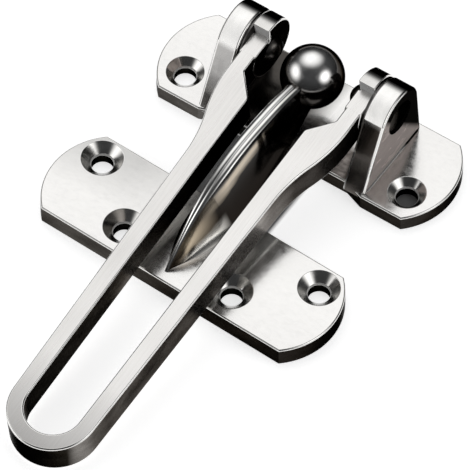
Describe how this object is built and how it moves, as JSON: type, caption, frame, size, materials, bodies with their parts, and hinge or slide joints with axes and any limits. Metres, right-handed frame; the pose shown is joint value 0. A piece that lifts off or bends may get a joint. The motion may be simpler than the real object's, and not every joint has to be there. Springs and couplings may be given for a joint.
{
  "type": "swing bar door guard",
  "caption": "Door guard with a slotted loop bar that swings between the ears of a screw-on bracket, and a screw-on keeper plate whose curved keel carries the ball that the slot rides over.",
  "frame": {"origin": "middle of the hinge bracket's back face, on the mounting plane", "axes": "+X along the hinge axis, +Y from the bar's loop towards the hinge, +Z off the mounting plane"},
  "size_m": [0.0736, 0.1162, 0.0236],
  "materials": {
    "satin_nickel": "satin nickel plate on a casting",
    "bar_nickel": "satin nickel plate, brushed along the bar",
    "keeper_nickel": "satin nickel plate, the keel and ball polished",
    "pin_steel": "plain plated steel",
    "washer_steel": "plain steel"
  },
  "bodies": {
    "mounted": {"hinge_bracket": "satin_nickel", "ball_keeper": "keeper_nickel", "left_hinge_pin": "pin_steel", "right_hinge_pin": "pin_steel", "left_washer": "washer_steel", "right_washer": "washer_steel"},
    "bar": {"swing_bar": "bar_nickel"}
  },
  "joints": [
    {"name": "bar_hinge", "type": "hinge", "parent": "mounted", "child": "bar", "pos_m": [0, 0.0026, 0.0164], "axis": [-1, 0, 0], "range_deg": [0, 193]}
  ]
}
